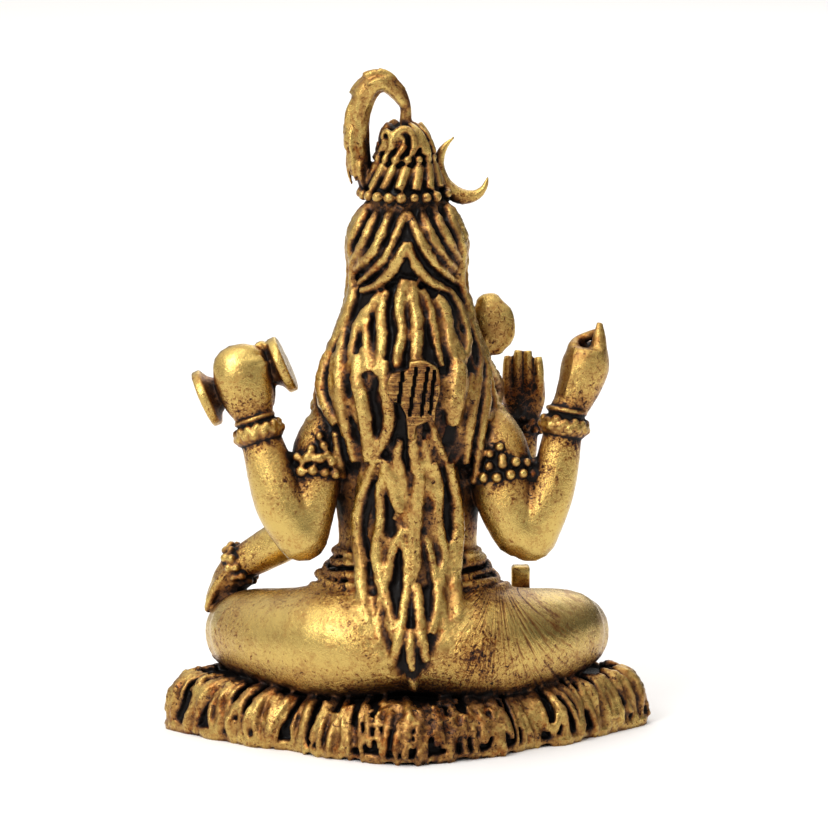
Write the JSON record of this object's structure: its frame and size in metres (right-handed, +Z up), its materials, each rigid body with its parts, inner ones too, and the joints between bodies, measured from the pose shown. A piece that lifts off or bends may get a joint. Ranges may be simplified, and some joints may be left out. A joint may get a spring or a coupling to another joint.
{
  "type": "shiva figure",
  "caption": "Small antiqued brass figure of Shiva seated cross-legged on a shaggy pelt, with raised arms, long carved hair and a looped stream of water above the topknot.",
  "frame": {"origin": "middle of the flat underside of the pelt base, on the surface it stands on", "axes": "+Z up along the figure's height, -Y the way the figure faces, +X towards the figure's own left hand"},
  "size_m": [0.066, 0.043, 0.0896],
  "materials": {
    "antique_brass": "worn antique patina, near black in the recesses"
  },
  "bodies": {
    "root": {"shiva_figure": "antique_brass"}
  },
  "joints": []
}
